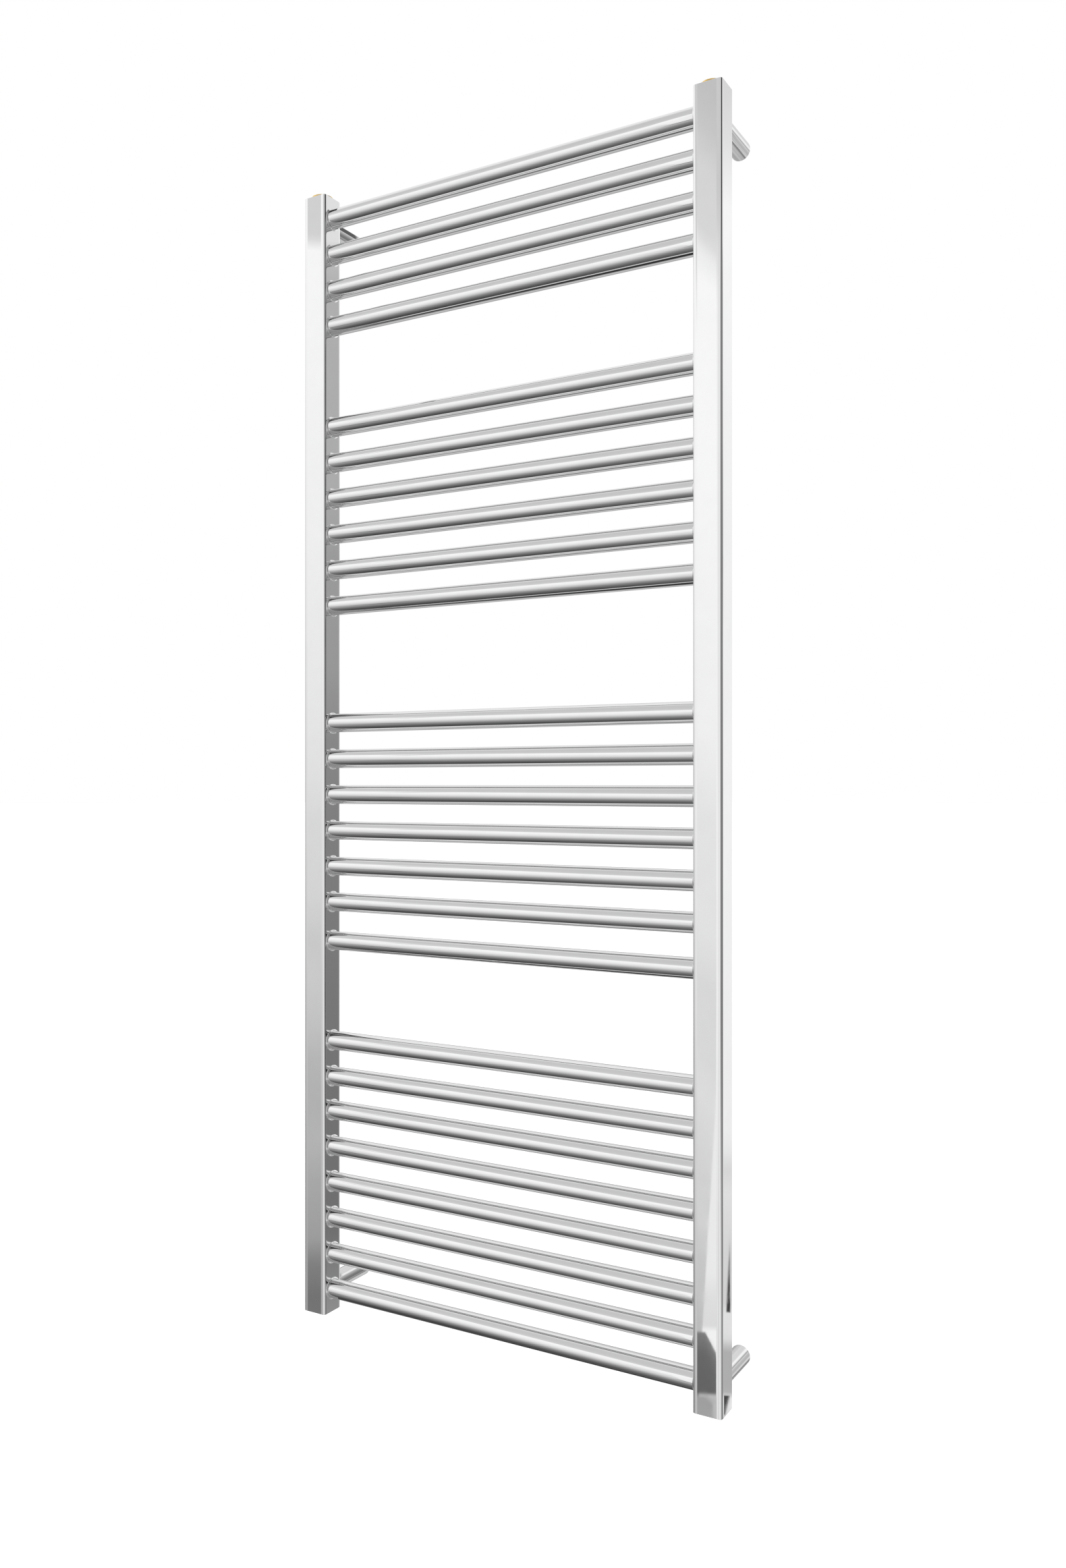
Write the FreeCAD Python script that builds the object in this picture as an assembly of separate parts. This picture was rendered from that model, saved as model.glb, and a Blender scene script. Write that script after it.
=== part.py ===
import FreeCAD
import Part

import math
import os

# A chromed ladder radiator for a bathroom wall: two upright box-section collectors, round
# tubes welded between them in groups, four telescopic wall brackets, an air vent and a
# blanking plug.
#
# Frame, in millimetres: the origin is the centre of the four wall fixing holes, on the wall
# plane. +X runs to the right as seen from the room, +Y into the wall and +Z up.

# Overall size
HEIGHT = 1500.0
WIDTH = 600.0
FRONT_TO_WALL = 106.0

# Collectors: upright box-section tubes
COLLECTOR_WIDTH = 35.5
COLLECTOR_DEPTH = 34.0
COLLECTOR_WALL = 1.5
COLLECTOR_CORNER = 2.5

# Horizontal tubes, counted from the top
TUBE_RADIUS = 12.5
TUBE_WALL = 1.2
TUBE_END_INSIDE = 1.0
TUBE_HOLE_CLEARANCE = 0.05
TOP_TUBE_DROP = 29.2
TUBE_PITCH = 48.1
TUBES_IN_GROUP = (4, 6, 7, 8)
GROUP_GAPS = (135.9, 157.7, 134.4)
# The third group ends with one wide step, and the fourth has one narrow second step.
WIDE_STEP = 52.2
NARROW_STEP = 45.7
ODD_STEPS = {(2, 5): WIDE_STEP, (3, 1): NARROW_STEP}

# Weld bead round each tube, on the collector's inner face
BEAD_RADIUS = 14.4
BEAD_HEIGHT = 1.9
BEAD_CLEARANCE = 0.02
BEAD_FULLNESS = 0.82

# Wall brackets: foot screwed to the wall, sleeve that slides on it, stud on the collector
BRACKET_TOP_DROP = 33.8
BRACKET_BOTTOM_RISE = 28.7
SLEEVE_RADIUS = 12.0
SLEEVE_BORE = 8.0
SLEEVE_WALL_GAP = 0.5
SLEEVE_END_WALL = 10.0
SLEEVE_FRONT_CHAMFER = 0.8
SLEEVE_BACK_CHAMFER = 0.4
FOOT_RADIUS = 7.95
FOOT_LENGTH = 45.0
FOOT_BASE = 5.0
FOOT_SCREW_HOLE = 3.25
FOOT_HEAD_BORE = 6.2
FOOT_CHAMFER = 0.6
STUD_RADIUS = 3.95
STUD_HOLE = 4.0
STUD_LENGTH = 9.0
STUD_FLANGE_RADIUS = 7.0
STUD_FLANGE = 1.5

# Grub screw in each sleeve, M5, near the wall: on top of the upper sleeves, under the lower
GRUB_RADIUS = 2.45
GRUB_HOLE = 2.5
GRUB_FROM_SLEEVE_END = 8.0
GRUB_TIP_GAP = 0.25
# The sleeve curves away beside the hole, so the screw sits a little below its outside.
GRUB_SUNK = 0.3
GRUB_SOCKET_FLATS = 2.5
GRUB_SOCKET_DEPTH = 2.0

# Collector ends: plate with a round G1/2 boss
CAP_THICKNESS = 3.0
CAP_CLEARANCE = 0.05
CAP_CORNER = 0.5
BOSS_RADIUS = 13.0
BOSS_CLEARANCE = 0.02
BOSS_LENGTH = 15.0
PORT_BORE = 9.32
PLUGGED_BORE = 9.95
PORT_LEAD_IN = 1.2

# Brass fittings in the top ports
FITTING_FLANGE_RADIUS = 14.5
FITTING_FLANGE = 3.5
FITTING_EDGE_CHAMFER = 0.5
FITTING_SHANK_RADIUS = 9.9
FITTING_SHANK_LENGTH = 12.0
FITTING_SHANK_CHAMFER = 1.0
PLUG_SOCKET_FLATS = 12.0
PLUG_SOCKET_DEPTH = 9.0
O_RING_CENTRE = 11.2
O_RING_SECTION = 0.78
GROOVE_HALF_WIDTH = 0.9
GROOVE_DEPTH = 1.6

# Air vent: bleed screw with an M6 thread, pushing a seal on to a seat
VENT_RECESS_RADIUS = 6.2
VENT_RECESS_DEPTH = 4.0
VENT_BORE = 3.0
VENT_INLET = 1.2
VENT_SEAT_DEPTH = 8.5
VENT_OUTLET = 0.7
VENT_OUTLET_OFFSET = 4.9
VENT_SCREW_RADIUS = 2.95
VENT_KEY_SQUARE = 5.0
VENT_KEY_HEIGHT = 3.3
VENT_KEY_CHAMFER = 0.4
VENT_HEAD_GAP = 0.5
VENT_SEAL_RADIUS = 2.6
VENT_SEAL_THICKNESS = 1.2

X_AXIS = FreeCAD.Vector(1, 0, 0)
Y_AXIS = FreeCAD.Vector(0, 1, 0)
Z_AXIS = FreeCAD.Vector(0, 0, 1)

# Places that follow from the sizes above
BRACKET_SPACING_Z = HEIGHT - BRACKET_TOP_DROP - BRACKET_BOTTOM_RISE
TOP_Z = BRACKET_SPACING_Z / 2 + BRACKET_TOP_DROP
BOTTOM_Z = TOP_Z - HEIGHT
FRONT_Y = -FRONT_TO_WALL
BACK_Y = FRONT_Y + COLLECTOR_DEPTH
MIDDLE_Y = (FRONT_Y + BACK_Y) / 2
COLLECTOR_X = (WIDTH - COLLECTOR_WIDTH) / 2
INNER_FACE_X = WIDTH / 2 - COLLECTOR_WIDTH

SIDES = {"left": -1, "right": 1}
LEVELS = {"top": 1, "bottom": -1}


def point(x, y, z):
    return FreeCAD.Vector(x, y, z)


def round_bar(radius, start, direction, length):
    """A solid round bar from start along direction."""
    return Part.makeCylinder(radius, length, start, direction)


def circles_at(shape, axis, place, radius):
    """The circular edges of one radius whose centres lie at place along axis."""
    found = []
    for edge in shape.Edges:
        curve = edge.Curve
        if not isinstance(curve, Part.Circle):
            continue
        if abs(curve.Center.dot(axis) - place) > 1e-4:
            continue
        if abs(curve.Radius - radius) < 1e-4:
            found.append(edge)
    return found


def rounded_block(width, depth, corner, centre, z_low, z_high):
    """An upright block with rounded vertical edges; centre is (x, y)."""
    corner_point = point(centre[0] - width / 2, centre[1] - depth / 2, z_low)
    block = Part.makeBox(width, depth, z_high - z_low, corner_point)
    upright = [edge for edge in block.Edges if abs(edge.tangentAt(0).z) > 0.9]
    return block.makeFillet(corner, upright)


def hexagon_bar(across_flats, start, direction, length):
    """A six-sided bar from start along direction, for sockets."""
    bar = Part.makeCylinder(across_flats / math.sqrt(3), length, start, direction)
    side = X_AXIS if abs(direction.dot(X_AXIS)) < 0.5 else Y_AXIS
    outline = []
    for corner in range(6):
        turn = FreeCAD.Rotation(direction, 60.0 * corner)
        outline.append(start + turn.multVec(side) * (across_flats / math.sqrt(3)))
    outline.append(outline[0])
    prism = Part.Face(Part.makePolygon(outline)).extrude(direction * length)
    return bar.common(prism)


def tube_heights():
    """Heights of the tube axes, from the top tube down."""
    heights = []
    height = TOP_Z - TOP_TUBE_DROP
    for group, count in enumerate(TUBES_IN_GROUP):
        if group > 0:
            height -= GROUP_GAPS[group - 1]
        heights.append(height)
        for step in range(count - 1):
            height -= ODD_STEPS.get((group, step), TUBE_PITCH)
            heights.append(height)
    return heights


def collector(side):
    """A box-section upright with a round hole for each tube in its inner wall."""
    centre = (side * COLLECTOR_X, MIDDLE_Y)
    outer = rounded_block(COLLECTOR_WIDTH, COLLECTOR_DEPTH, COLLECTOR_CORNER,
                          centre, BOTTOM_Z, TOP_Z)
    inner = rounded_block(COLLECTOR_WIDTH - 2 * COLLECTOR_WALL,
                          COLLECTOR_DEPTH - 2 * COLLECTOR_WALL, CAP_CORNER,
                          centre, BOTTOM_Z, TOP_Z)
    holes = []
    for height in tube_heights():
        start = point(side * (INNER_FACE_X - 1.0), MIDDLE_Y, height)
        holes.append(round_bar(TUBE_RADIUS + TUBE_HOLE_CLEARANCE, start,
                               X_AXIS * side, COLLECTOR_WALL + 2.0))
    return outer.cut(inner).cut(Part.makeCompound(holes))


def tube(height):
    """One horizontal tube; its ends pass through the collectors' inner walls."""
    half = INNER_FACE_X + COLLECTOR_WALL + TUBE_END_INSIDE
    start = point(-half, MIDDLE_Y, height)
    outer = round_bar(TUBE_RADIUS, start, X_AXIS, 2 * half)
    inner = round_bar(TUBE_RADIUS - TUBE_WALL, start, X_AXIS, 2 * half)
    return outer.cut(inner)


def weld_bead(side, height):
    """A rounded fillet of weld where a tube meets a collector's inner face."""
    face_x = side * INNER_FACE_X
    foot = TUBE_RADIUS + BEAD_CLEARANCE
    reach = BEAD_RADIUS - foot
    corner = point(face_x, MIDDLE_Y, height + foot)
    rim = point(face_x, MIDDLE_Y, height + BEAD_RADIUS)
    crest = point(face_x - side * BEAD_HEIGHT, MIDDLE_Y, height + foot)
    bulge = point(face_x - side * BEAD_HEIGHT * BEAD_FULLNESS * math.sqrt(0.5), MIDDLE_Y,
                  height + foot + reach * BEAD_FULLNESS * math.sqrt(0.5))
    profile = Part.Wire([Part.LineSegment(corner, rim).toShape(),
                         Part.Arc(rim, bulge, crest).toShape(),
                         Part.LineSegment(crest, corner).toShape()])
    axis_point = point(face_x, MIDDLE_Y, height)
    return Part.Face(profile).revolve(axis_point, X_AXIS, 360)


def weld_beads(side):
    return Part.makeCompound([weld_bead(side, height) for height in tube_heights()])


def end_plane(level):
    """Height of a collector's end face: the top for level 1, the bottom for -1."""
    return TOP_Z if level > 0 else BOTTOM_Z


def end_cap(side, level):
    """The plate that closes a collector's end, with a round hole for the boss."""
    end = end_plane(level)
    z_low, z_high = sorted((end, end - level * CAP_THICKNESS))
    shrink = 2 * (COLLECTOR_WALL + CAP_CLEARANCE)
    plate = rounded_block(COLLECTOR_WIDTH - shrink, COLLECTOR_DEPTH - shrink, CAP_CORNER,
                          (side * COLLECTOR_X, MIDDLE_Y), z_low, z_high)
    hole = round_bar(BOSS_RADIUS + BOSS_CLEARANCE,
                     point(side * COLLECTOR_X, MIDDLE_Y, z_low), Z_AXIS, CAP_THICKNESS)
    return plate.cut(hole)


def port_boss(side, level):
    """A round G1/2 boss; the bottom ones are open, the top ones hold a fitting."""
    end = end_plane(level)
    into = Z_AXIS * -level
    start = point(side * COLLECTOR_X, MIDDLE_Y, end)
    bore_radius = PLUGGED_BORE if level > 0 else PORT_BORE
    boss = round_bar(BOSS_RADIUS, start, into, BOSS_LENGTH)
    bored = boss.cut(round_bar(bore_radius, start, into, BOSS_LENGTH))
    if level > 0:
        return bored
    mouth = circles_at(bored, Z_AXIS, end, bore_radius)
    return bored.makeChamfer(PORT_LEAD_IN, mouth)


def flanged_shank(side):
    """A round flange over a shank, with a groove for an O-ring under the flange."""
    seat = point(side * COLLECTOR_X, MIDDLE_Y, TOP_Z)
    flange = round_bar(FITTING_FLANGE_RADIUS, seat, Z_AXIS, FITTING_FLANGE)
    rim = circles_at(flange, Z_AXIS, TOP_Z + FITTING_FLANGE, FITTING_FLANGE_RADIUS)
    flange = flange.makeChamfer(FITTING_EDGE_CHAMFER, rim)
    groove = round_bar(O_RING_CENTRE + GROOVE_HALF_WIDTH, seat, Z_AXIS, GROOVE_DEPTH)
    core = round_bar(O_RING_CENTRE - GROOVE_HALF_WIDTH, seat, Z_AXIS, GROOVE_DEPTH)
    flange = flange.cut(groove.cut(core))
    shank = round_bar(FITTING_SHANK_RADIUS, seat, -Z_AXIS, FITTING_SHANK_LENGTH)
    tip = circles_at(shank, Z_AXIS, TOP_Z - FITTING_SHANK_LENGTH, FITTING_SHANK_RADIUS)
    shank = shank.makeChamfer(FITTING_SHANK_CHAMFER, tip)
    return flange.fuse(shank).removeSplitter()


def blanking_plug(side):
    """A plug with a hexagon socket, closing one top port."""
    top = point(side * COLLECTOR_X, MIDDLE_Y, TOP_Z + FITTING_FLANGE)
    socket = hexagon_bar(PLUG_SOCKET_FLATS, top, -Z_AXIS, PLUG_SOCKET_DEPTH)
    return flanged_shank(side).cut(socket)


def vent_body(side):
    """The air vent's body: recess for the key, screw bore, seat, inlet and outlet."""
    top_z = TOP_Z + FITTING_FLANGE
    top = point(side * COLLECTOR_X, MIDDLE_Y, top_z)
    recess_floor = top_z - VENT_RECESS_DEPTH
    recess = round_bar(VENT_RECESS_RADIUS, top, -Z_AXIS, VENT_RECESS_DEPTH)
    bore_depth = top_z - TOP_Z + VENT_SEAT_DEPTH
    bore = round_bar(VENT_BORE, top, -Z_AXIS, bore_depth)
    inlet = round_bar(VENT_INLET, top, -Z_AXIS, FITTING_FLANGE + FITTING_SHANK_LENGTH)
    outlet_top = point(side * COLLECTOR_X, MIDDLE_Y - VENT_OUTLET_OFFSET, recess_floor)
    outlet_end = point(side * COLLECTOR_X, MIDDLE_Y - VENT_BORE + VENT_OUTLET,
                       TOP_Z - VENT_SEAT_DEPTH + VENT_SEAL_THICKNESS)
    run = outlet_end - outlet_top
    outlet = round_bar(VENT_OUTLET, outlet_top - run * 0.1, run, run.Length * 1.1)
    return flanged_shank(side).cut(Part.makeCompound([recess])).cut(bore).cut(inlet).cut(outlet)


def vent_screw(side):
    """The bleed screw: square key head over a round threaded shank."""
    seal_top = TOP_Z - VENT_SEAT_DEPTH + VENT_SEAL_THICKNESS
    head_base = TOP_Z + FITTING_FLANGE - VENT_RECESS_DEPTH + VENT_HEAD_GAP
    shank = round_bar(VENT_SCREW_RADIUS, point(side * COLLECTOR_X, MIDDLE_Y, seal_top),
                      Z_AXIS, head_base - seal_top)
    half = VENT_KEY_SQUARE / 2
    head = Part.makeBox(VENT_KEY_SQUARE, VENT_KEY_SQUARE, VENT_KEY_HEIGHT,
                        point(side * COLLECTOR_X - half, MIDDLE_Y - half, head_base))
    head_top = head_base + VENT_KEY_HEIGHT
    rim = [edge for edge in head.Edges if abs(edge.BoundBox.ZMin - head_top) < 1e-4]
    return shank.fuse(head.makeChamfer(VENT_KEY_CHAMFER, rim))


def vent_seal(side):
    """The soft disc that the bleed screw presses on to the seat."""
    seat = point(side * COLLECTOR_X, MIDDLE_Y, TOP_Z - VENT_SEAT_DEPTH)
    return round_bar(VENT_SEAL_RADIUS, seat, Z_AXIS, VENT_SEAL_THICKNESS)


def o_ring(side):
    """The sealing ring in the groove under a fitting's flange."""
    centre = point(side * COLLECTOR_X, MIDDLE_Y, TOP_Z + GROOVE_DEPTH / 2)
    return Part.makeTorus(O_RING_CENTRE, O_RING_SECTION, centre, Z_AXIS)


def bracket_height(level):
    return level * BRACKET_SPACING_Z / 2


def wall_foot(side, level):
    """A turned spigot on the wall, bored for one countersunk wall screw."""
    wall = point(side * COLLECTOR_X, 0, bracket_height(level))
    out = -Y_AXIS
    spigot = round_bar(FOOT_RADIUS, wall, out, FOOT_LENGTH)
    nose = circles_at(spigot, Y_AXIS, -FOOT_LENGTH, FOOT_RADIUS)
    spigot = spigot.makeChamfer(FOOT_CHAMFER, nose)
    screw_hole = round_bar(FOOT_SCREW_HOLE, wall, out, FOOT_LENGTH)
    head_bore = round_bar(FOOT_HEAD_BORE, wall - Y_AXIS * FOOT_BASE, out,
                          FOOT_LENGTH - FOOT_BASE)
    return spigot.cut(screw_hole).cut(head_bore)


def grub_hole_start(side, level):
    """Where a grub screw's axis meets the outside of its sleeve."""
    along = -(SLEEVE_WALL_GAP + GRUB_FROM_SLEEVE_END)
    return point(side * COLLECTOR_X, along, bracket_height(level) + level * SLEEVE_RADIUS)


def bracket_sleeve(side, level):
    """The polished cover tube that slides on the foot and carries the collector."""
    front_y = BACK_Y + STUD_FLANGE
    length = -SLEEVE_WALL_GAP - front_y
    axis_z = bracket_height(level)
    front = point(side * COLLECTOR_X, front_y, axis_z)
    sleeve = round_bar(SLEEVE_RADIUS, front, Y_AXIS, length)
    front_rim = circles_at(sleeve, Y_AXIS, front_y, SLEEVE_RADIUS)
    sleeve = sleeve.makeChamfer(SLEEVE_FRONT_CHAMFER, front_rim)
    back_rim = circles_at(sleeve, Y_AXIS, -SLEEVE_WALL_GAP, SLEEVE_RADIUS)
    sleeve = sleeve.makeChamfer(SLEEVE_BACK_CHAMFER, back_rim)
    bore = round_bar(SLEEVE_BORE, front + Y_AXIS * SLEEVE_END_WALL, Y_AXIS,
                     length - SLEEVE_END_WALL)
    stud_hole = round_bar(STUD_HOLE, front, Y_AXIS, SLEEVE_END_WALL)
    grub_hole = round_bar(GRUB_HOLE, grub_hole_start(side, level), Z_AXIS * -level,
                          SLEEVE_RADIUS)
    return sleeve.cut(bore).cut(stud_hole).cut(grub_hole)


def bracket_stud(side, level):
    """The M8 stud welded to the collector's back, with a round flange."""
    back = point(side * COLLECTOR_X, BACK_Y, bracket_height(level))
    flange = round_bar(STUD_FLANGE_RADIUS, back, Y_AXIS, STUD_FLANGE)
    return flange.fuse(round_bar(STUD_RADIUS, back, Y_AXIS, STUD_FLANGE + STUD_LENGTH))


def grub_screw(side, level):
    """The socket set screw that locks a sleeve on its foot."""
    into = Z_AXIS * -level
    length = SLEEVE_RADIUS - FOOT_RADIUS - GRUB_TIP_GAP
    start = grub_hole_start(side, level) + into * GRUB_SUNK
    screw = round_bar(GRUB_RADIUS, start, into, length - GRUB_SUNK)
    return screw.cut(hexagon_bar(GRUB_SOCKET_FLATS, start, into, GRUB_SOCKET_DEPTH))


def build_nodes():
    """Every node's name and shape."""
    nodes = {}
    for number, height in enumerate(tube_heights(), start=1):
        nodes["tube_%02d" % number] = tube(height)
    for side_name, side in SIDES.items():
        nodes[side_name + "_collector"] = collector(side)
        nodes[side_name + "_weld_beads"] = weld_beads(side)
        for level_name, level in LEVELS.items():
            corner = side_name + "_" + level_name
            nodes[corner + "_end_cap"] = end_cap(side, level)
            nodes[corner + "_port_boss"] = port_boss(side, level)
            nodes[corner + "_wall_foot"] = wall_foot(side, level)
            nodes[corner + "_bracket_sleeve"] = bracket_sleeve(side, level)
            nodes[corner + "_bracket_stud"] = bracket_stud(side, level)
    nodes["grub_screws"] = Part.makeCompound(
        [grub_screw(side, level) for side in SIDES.values() for level in LEVELS.values()])
    nodes["blanking_plug"] = blanking_plug(SIDES["left"])
    nodes["blanking_plug_o_ring"] = o_ring(SIDES["left"])
    nodes["vent_body"] = vent_body(SIDES["right"])
    nodes["vent_o_ring"] = o_ring(SIDES["right"])
    nodes["vent_seal"] = vent_seal(SIDES["right"])
    nodes["vent_screw"] = vent_screw(SIDES["right"])
    return nodes


def main():
    os.makedirs("parts", exist_ok=True)
    nodes = build_nodes()
    for name, shape in nodes.items():
        shape.exportStep("parts/%s.step" % name)
        print("%-28s %2d solids %10.1f mm3 valid %s"
              % (name, len(shape.Solids), shape.Volume, shape.isValid()))
    print(len(nodes), "nodes")


main()
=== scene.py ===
import math
import random

import bmesh
import bpy
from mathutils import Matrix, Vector


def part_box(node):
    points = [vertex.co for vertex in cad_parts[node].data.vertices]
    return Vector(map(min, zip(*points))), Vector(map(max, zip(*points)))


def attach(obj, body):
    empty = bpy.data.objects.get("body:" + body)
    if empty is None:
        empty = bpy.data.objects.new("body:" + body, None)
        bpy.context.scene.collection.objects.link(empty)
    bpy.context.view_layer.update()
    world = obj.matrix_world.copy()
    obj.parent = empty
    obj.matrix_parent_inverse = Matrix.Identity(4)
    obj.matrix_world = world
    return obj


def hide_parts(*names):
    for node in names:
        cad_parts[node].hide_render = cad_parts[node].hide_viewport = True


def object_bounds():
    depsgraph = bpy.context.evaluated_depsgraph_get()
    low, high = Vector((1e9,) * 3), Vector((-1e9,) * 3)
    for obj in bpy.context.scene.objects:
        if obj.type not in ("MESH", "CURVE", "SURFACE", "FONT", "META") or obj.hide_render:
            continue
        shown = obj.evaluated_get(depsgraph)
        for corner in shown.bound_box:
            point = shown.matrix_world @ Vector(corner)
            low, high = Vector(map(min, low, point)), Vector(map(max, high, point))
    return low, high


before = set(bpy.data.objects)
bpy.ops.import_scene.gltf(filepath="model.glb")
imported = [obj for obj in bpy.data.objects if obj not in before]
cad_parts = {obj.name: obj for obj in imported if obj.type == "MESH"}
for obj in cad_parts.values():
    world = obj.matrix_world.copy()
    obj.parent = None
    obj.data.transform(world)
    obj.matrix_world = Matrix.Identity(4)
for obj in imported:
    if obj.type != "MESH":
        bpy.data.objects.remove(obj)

# A chromed ladder radiator. Every place is read from the frame's boxes; the sizes below are
# those of details that the frame's boxes don't give. All lengths are in metres.

MM = 0.001
random.seed(7)

# Smoothing: faces that meet at less than this turn share a rounded shading
CREASE = math.radians(32)

# Fineness of round shapes
ROUND = 96
SMALL_ROUND = 48
TUBE_ROUND = 128
DRILL_ROUND = 24

# Collector section
COLLECTOR_WALL = 1.5 * MM
CORNER_REACH = 7.0 * MM
CORNER_POWER = 5.0
CORNER_STEPS = 22
INNER_CORNER = 0.5 * MM
END_BEVEL = 0.25 * MM
SEAM_BEVEL = 0.15 * MM
SEAM_GAP = 0.02 * MM
CAP_CORNER_STEPS = 6
CAP_EDGE_PARTS = 16
CAP_LONG_EDGE = 5 * MM

# Tubes and weld beads
TUBE_WALL = 1.2 * MM
TUBE_HOLE_GAP = 0.05 * MM
BEAD_GAP = 0.02 * MM
BEAD_STEPS = 8
BEAD_HOLLOW = 0.18
BEAD_RIPPLE = 0.02 * MM
BEAD_RIPPLES = 26

# Wall brackets
SLEEVE_BORE = 8.0 * MM
SLEEVE_END_WALL = 10.0 * MM
SLEEVE_FRONT_CHAMFER = 0.8 * MM
SLEEVE_BACK_CHAMFER = 0.4 * MM
STUD_HOLE = 4.0 * MM
STUD_RADIUS = 3.95 * MM
STUD_FLANGE = 1.5 * MM
STUD_PITCH = 1.25 * MM
GRUB_HOLE = 2.5 * MM
GRUB_SOCKET_FLATS = 2.5 * MM
GRUB_SOCKET_DEPTH = 2.0 * MM
FOOT_BASE = 5.0 * MM
FOOT_SCREW_HOLE = 3.25 * MM
FOOT_HEAD_BORE = 6.2 * MM
FOOT_CHAMFER = 0.6 * MM
BORE_CHAMFER = 0.3 * MM

# Ports and fittings
PIPE_PITCH = 1.814 * MM
PORT_MINOR = 9.32 * MM
PORT_MAJOR = 10.45 * MM
PORT_LEAD_IN = 1.2 * MM
PLUGGED_BORE = 9.95 * MM
SHANK_ROOT = 9.1 * MM
SHANK_RADIUS = 9.9 * MM
SHANK_TIP = 1.0 * MM
FLANGE_HEIGHT = 3.5 * MM
FLANGE_CHAMFER = 0.5 * MM
GROOVE_IN = 10.3 * MM
GROOVE_OUT = 12.1 * MM
GROOVE_DEPTH = 1.6 * MM
PLUG_SOCKET_FLATS = 12.0 * MM
PLUG_SOCKET_DEPTH = 9.0 * MM
VENT_RECESS = 6.2 * MM
VENT_RECESS_DEPTH = 4.0 * MM
VENT_BORE = 3.0 * MM
VENT_SEAT_DEPTH = 8.5 * MM
VENT_INLET = 1.2 * MM
VENT_OUTLET = 0.7 * MM
VENT_OUTLET_OFFSET = 4.9 * MM
VENT_KEY = 5.0 * MM
VENT_KEY_HEIGHT = 3.3 * MM
VENT_KEY_ROUND = 0.35 * MM
VENT_KEY_CHAMFER = 0.4 * MM
SCREW_PITCH = 1.0 * MM
GRUB_PITCH = 0.8 * MM
THREAD_STEP = 0.16 * MM
THREAD_FLAT = 0.15

# Rubber parts
SEAL_EDGE = 0.25 * MM
O_RING_STEPS = 32
O_RING_BODY = 0.975

# Camera, from the radiator's middle, its front faces and its bottom ends
CAMERA_RIGHT = 0.8292
CAMERA_OUT = 1.3392
CAMERA_ABOVE = 0.7104
CAMERA_YAW = math.radians(29.976)
CAMERA_LENS = 29.312

FLOOR_BELOW = 0.18
FLOOR_RADIUS = 60.0

SIDES = {"left": -1, "right": 1}
LEVELS = {"top": 1, "bottom": -1}

cad_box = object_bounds()


# ---------------------------------------------------------------- mesh helpers

def smooth_normals(mesh, field=None):
    """Rounded shading inside each crease, weighted by face area, so flats stay flat.

    field(co, normal) may return the exact normal of a known surface instead.
    """
    polygons = mesh.polygons
    normals = [p.normal.copy() for p in polygons]
    weights = [p.area for p in polygons]
    around = [[] for _ in mesh.vertices]
    for p in polygons:
        for v in p.vertices:
            around[v].append(p.index)
    limit = math.cos(CREASE)
    corner_normals = []
    for p in polygons:
        own = normals[p.index]
        for v in p.vertices:
            exact = field(mesh.vertices[v].co, own) if field else None
            if exact is not None:
                corner_normals.append(exact)
                continue
            total = Vector((0.0, 0.0, 0.0))
            for f in around[v]:
                if normals[f].dot(own) > limit:
                    total += normals[f] * weights[f]
            corner_normals.append(total.normalized() if total.length > 0 else own)
    for p in polygons:
        p.use_smooth = True
    mesh.normals_split_custom_set(corner_normals)


def new_piece(name, vertices, faces, field=None):
    mesh = bpy.data.meshes.new(name)
    mesh.from_pydata([tuple(v) for v in vertices], [], faces)
    work = bmesh.new()
    work.from_mesh(mesh)
    bmesh.ops.recalc_face_normals(work, faces=work.faces)
    work.to_mesh(mesh)
    work.free()
    mesh.update()
    smooth_normals(mesh, field)
    piece = bpy.data.objects.new(name, mesh)
    bpy.context.scene.collection.objects.link(piece)
    return piece


def loft(rings, closed=False, start="open", end="open"):
    """Vertices and faces of a skin over rings of equal length.

    closed joins the last ring to the first; an end is open, flat or a point in its middle.
    """
    count = len(rings[0])
    vertices = [Vector(p) for ring in rings for p in ring]
    faces = []
    spans = len(rings) if closed else len(rings) - 1
    for row in range(spans):
        a = row * count
        b = ((row + 1) % len(rings)) * count
        for k in range(count):
            n = (k + 1) % count
            faces.append((a + k, a + n, b + n, b + k))
    for kind, row in ((start, 0), (end, len(rings) - 1)):
        if kind == "flat":
            faces.append(tuple(row * count + k for k in range(count)))
        elif kind != "open":
            vertices.append(Vector(kind))
            middle = len(vertices) - 1
            for k in range(count):
                faces.append((row * count + k, row * count + (k + 1) % count, middle))
    return vertices, faces


def joined(parts):
    """One list of vertices and faces from several."""
    vertices = []
    faces = []
    for some_vertices, some_faces in parts:
        shift = len(vertices)
        vertices += some_vertices
        faces += [tuple(i + shift for i in face) for face in some_faces]
    return vertices, faces


AXES = {
    "x": (Vector((1, 0, 0)), Vector((0, 1, 0)), Vector((0, 0, 1))),
    "y": (Vector((0, 1, 0)), Vector((0, 0, 1)), Vector((1, 0, 0))),
    "z": (Vector((0, 0, 1)), Vector((1, 0, 0)), Vector((0, 1, 0))),
}


def ring(centre, axis, along, radius, count=ROUND):
    """A ring of points round an axis; radius is a number or a function of the angle."""
    main, side, up = AXES[axis]
    points = []
    for k in range(count):
        angle = 2 * math.pi * k / count
        reach = radius(angle) if callable(radius) else radius
        points.append(centre + main * along + side * (reach * math.cos(angle))
                      + up * (reach * math.sin(angle)))
    return points


def turned(centre, axis, profile, count=ROUND, closed=False, start="open", end="open"):
    """A turned shape from (distance along the axis, radius) points."""
    rings = [ring(centre, axis, along, radius, count) for along, radius in profile]
    return loft(rings, closed, start, end)


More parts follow.
